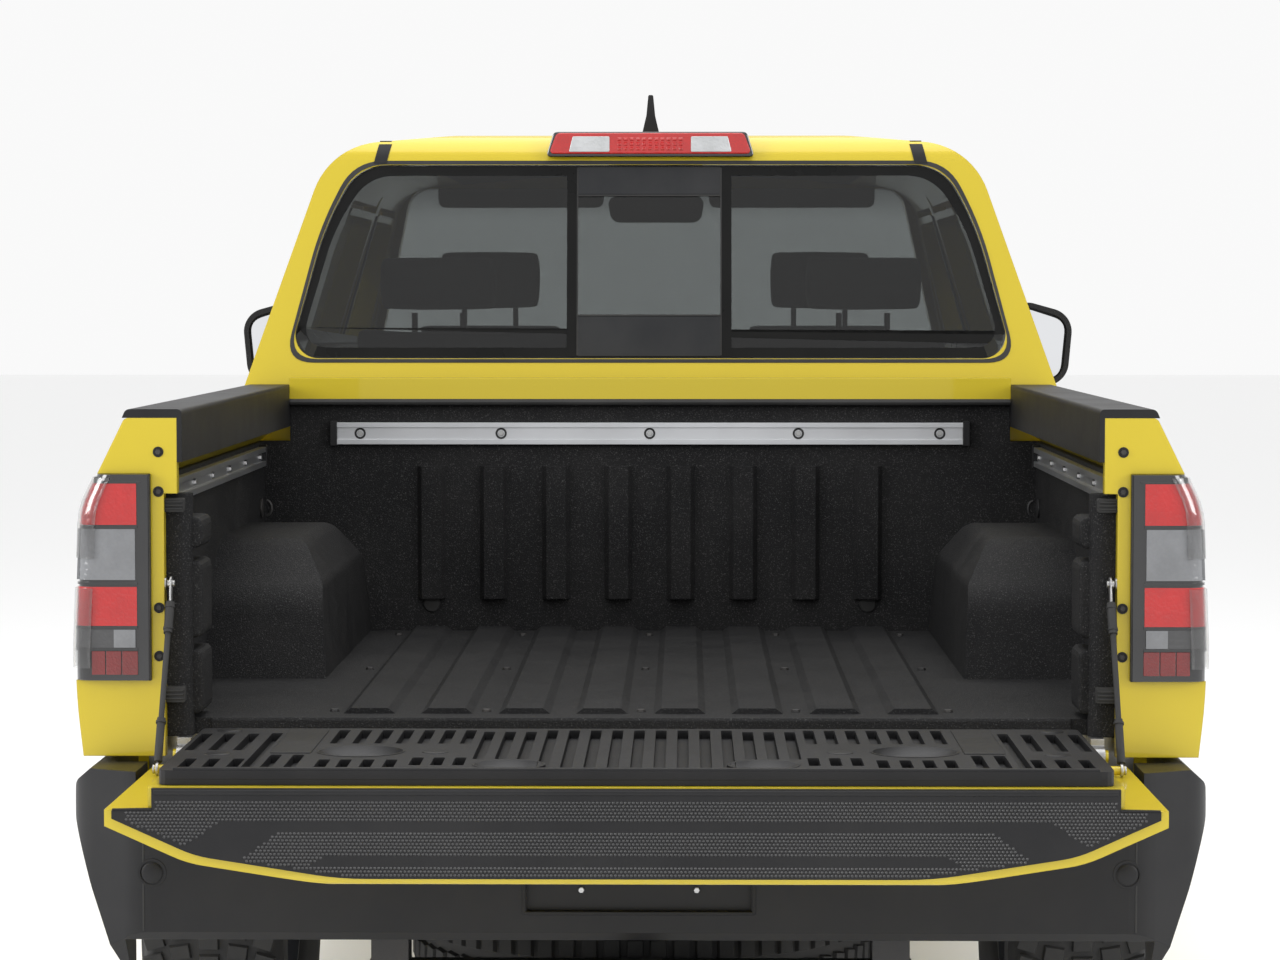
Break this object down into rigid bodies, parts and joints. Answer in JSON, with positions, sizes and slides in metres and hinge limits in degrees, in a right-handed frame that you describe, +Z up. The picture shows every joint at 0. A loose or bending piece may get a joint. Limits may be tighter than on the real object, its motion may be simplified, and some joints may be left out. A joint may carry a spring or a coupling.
{
  "type": "pickup truck",
  "caption": "Mid-size crew-cab pickup truck that rolls on wheels, with an open lined load bed and its tailgate lowered.",
  "frame": {"origin": "on the ground under the middle of the truck's box, tailgate lowered", "axes": "+Z up, +Y forwards, +X to the truck's right-hand side"},
  "size_m": [2.1194, 5.733, 1.93],
  "materials": {
    "body_paint": "gloss",
    "tinted_glass": "polished",
    "black_plastic": "grained",
    "liner": "sprayed liner",
    "red_lens": "polished",
    "clear_lens": "polished",
    "aluminium": "satin",
    "steel": "plain",
    "black_steel": "satin",
    "cast_iron": "cast",
    "wheel_alloy": "painted",
    "tyre": "matt",
    "seat_fabric": "woven"
  },
  "bodies": {
    "chassis": {"cab_shell": "body_paint", "cab_glass": "tinted_glass", "bed_panels": "body_paint", "rear_lamps": "red_lens", "bed_rail_caps": "black_plastic", "bed_tub": "liner", "utility_rails": "aluminium", "tailgate_brackets": "steel", "tailgate_cables": "steel", "rear_bumper": "black_plastic", "front_wings": "body_paint", "headlamps": "clear_lens", "fixed_hinges": "steel", "cowl_panel": "black_plastic", "grille": "black_plastic", "front_bumper": "body_paint", "radiator_panel": "black_plastic", "chassis_frame": "black_steel", "rear_axle": "cast_iron", "rear_suspension": "black_steel", "front_suspension": "black_steel", "powertrain": "cast_iron", "exhaust": "steel", "fuel_tank": "black_plastic", "seats": "seat_fabric", "dashboard": "black_plastic", "roof_aerial": "black_plastic", "interior_mirror": "black_plastic", "spare_tyre": "tyre", "spare_wheel_carrier": "black_steel"},
    "front_door_right": {"front_door_right": "body_paint", "front_door_glass_right": "tinted_glass", "door_mirror_right": "black_plastic"},
    "rear_door_right": {"rear_door_right": "body_paint", "rear_door_glass_right": "tinted_glass"},
    "knuckle_right": {"knuckle_right": "cast_iron"},
    "front_door_left": {"front_door_left": "body_paint", "front_door_glass_left": "tinted_glass", "door_mirror_left": "black_plastic"},
    "rear_door_left": {"rear_door_left": "body_paint", "rear_door_glass_left": "tinted_glass"},
    "knuckle_left": {"knuckle_left": "cast_iron"},
    "wheel_front_right": {"wheel_rim_front_right": "wheel_alloy", "wheel_tyre_front_right": "tyre"},
    "wheel_front_left": {"wheel_rim_front_left": "wheel_alloy", "wheel_tyre_front_left": "tyre"},
    "wheel_rear_right": {"wheel_rim_rear_right": "wheel_alloy", "wheel_tyre_rear_right": "tyre"},
    "wheel_rear_left": {"wheel_rim_rear_left": "wheel_alloy", "wheel_tyre_rear_left": "tyre"},
    "hood": {"hood": "body_paint"},
    "tailgate": {"tailgate_shell": "body_paint", "tailgate_liner": "liner", "tailgate_top_trim": "black_plastic"},
    "tie_bar": {"steering_tie_bar": "steel"},
    "steering_wheel": {"steering_wheel": "black_plastic"}
  },
  "joints": [
    {"name": "steer_right", "type": "hinge", "parent": "chassis", "child": "knuckle_right", "pos_m": [0.725, 1.9565, 0.401], "axis": [0, 0, 1], "range_deg": [-30, 30]},
    {"name": "front_right_wheel_spin", "type": "hinge", "parent": "knuckle_right", "child": "wheel_front_right", "pos_m": [0.785, 1.9565, 0.401], "axis": [1, 0, 0], "continuous": true},
    {"name": "rear_right_wheel_spin", "type": "hinge", "parent": "chassis", "child": "wheel_rear_right", "pos_m": [0.785, -1.2435, 0.401], "axis": [1, 0, 0], "continuous": true},
    {"name": "front_door_right_hinge", "type": "hinge", "parent": "chassis", "child": "front_door_right", "pos_m": [0.879, 1.3115, 0.9], "axis": [0, 0, 1], "range_deg": [0, 65]},
    {"name": "rear_door_right_hinge", "type": "hinge", "parent": "chassis", "child": "rear_door_right", "pos_m": [0.879, 0.2485, 0.9], "axis": [0, 0, 1], "range_deg": [0, 65]},
    {"name": "steer_left", "type": "hinge", "parent": "chassis", "child": "knuckle_left", "pos_m": [-0.725, 1.9565, 0.401], "axis": [0, 0, 1], "range_deg": [-30, 30]},
    {"name": "front_left_wheel_spin", "type": "hinge", "parent": "knuckle_left", "child": "wheel_front_left", "pos_m": [-0.785, 1.9565, 0.401], "axis": [1, 0, 0], "continuous": true},
    {"name": "rear_left_wheel_spin", "type": "hinge", "parent": "chassis", "child": "wheel_rear_left", "pos_m": [-0.785, -1.2435, 0.401], "axis": [1, 0, 0], "continuous": true},
    {"name": "front_door_left_hinge", "type": "hinge", "parent": "chassis", "child": "front_door_left", "pos_m": [-0.879, 1.3115, 0.9], "axis": [0, 0, -1], "range_deg": [0, 65]},
    {"name": "rear_door_left_hinge", "type": "hinge", "parent": "chassis", "child": "rear_door_left", "pos_m": [-0.879, 0.2485, 0.9], "axis": [0, 0, -1], "range_deg": [0, 65]},
    {"name": "hood_hinge", "type": "hinge", "parent": "chassis", "child": "hood", "pos_m": [0, 1.5905, 1.15696], "axis": [1, 0, 0], "range_deg": [0, 50]},
    {"name": "tailgate_hinge", "type": "hinge", "parent": "chassis", "child": "tailgate", "pos_m": [0, -2.3375, 0.783], "axis": [-1, 0, 0], "range_deg": [0, 90], "deforming": ["tailgate_cables"]},
    {"name": "tie_bar_slide", "type": "slide", "parent": "chassis", "child": "tie_bar", "axis": [1, 0, 0], "range_m": [-0.054, 0.054]},
    {"name": "steering_wheel_turn", "type": "hinge", "parent": "chassis", "child": "steering_wheel", "pos_m": [-0.385, 0.8815, 1.14], "axis": [0, 0.9135, -0.4067], "range_deg": [-485, 485]}
  ],
  "couplings": [
    {"joint": "steer_left", "follows": "steer_right", "ratio": 1},
    {"joint": "tie_bar_slide", "follows": "steer_right", "m_per_rad": 0.1},
    {"joint": "steering_wheel_turn", "follows": "steer_right", "ratio": -16}
  ]
}
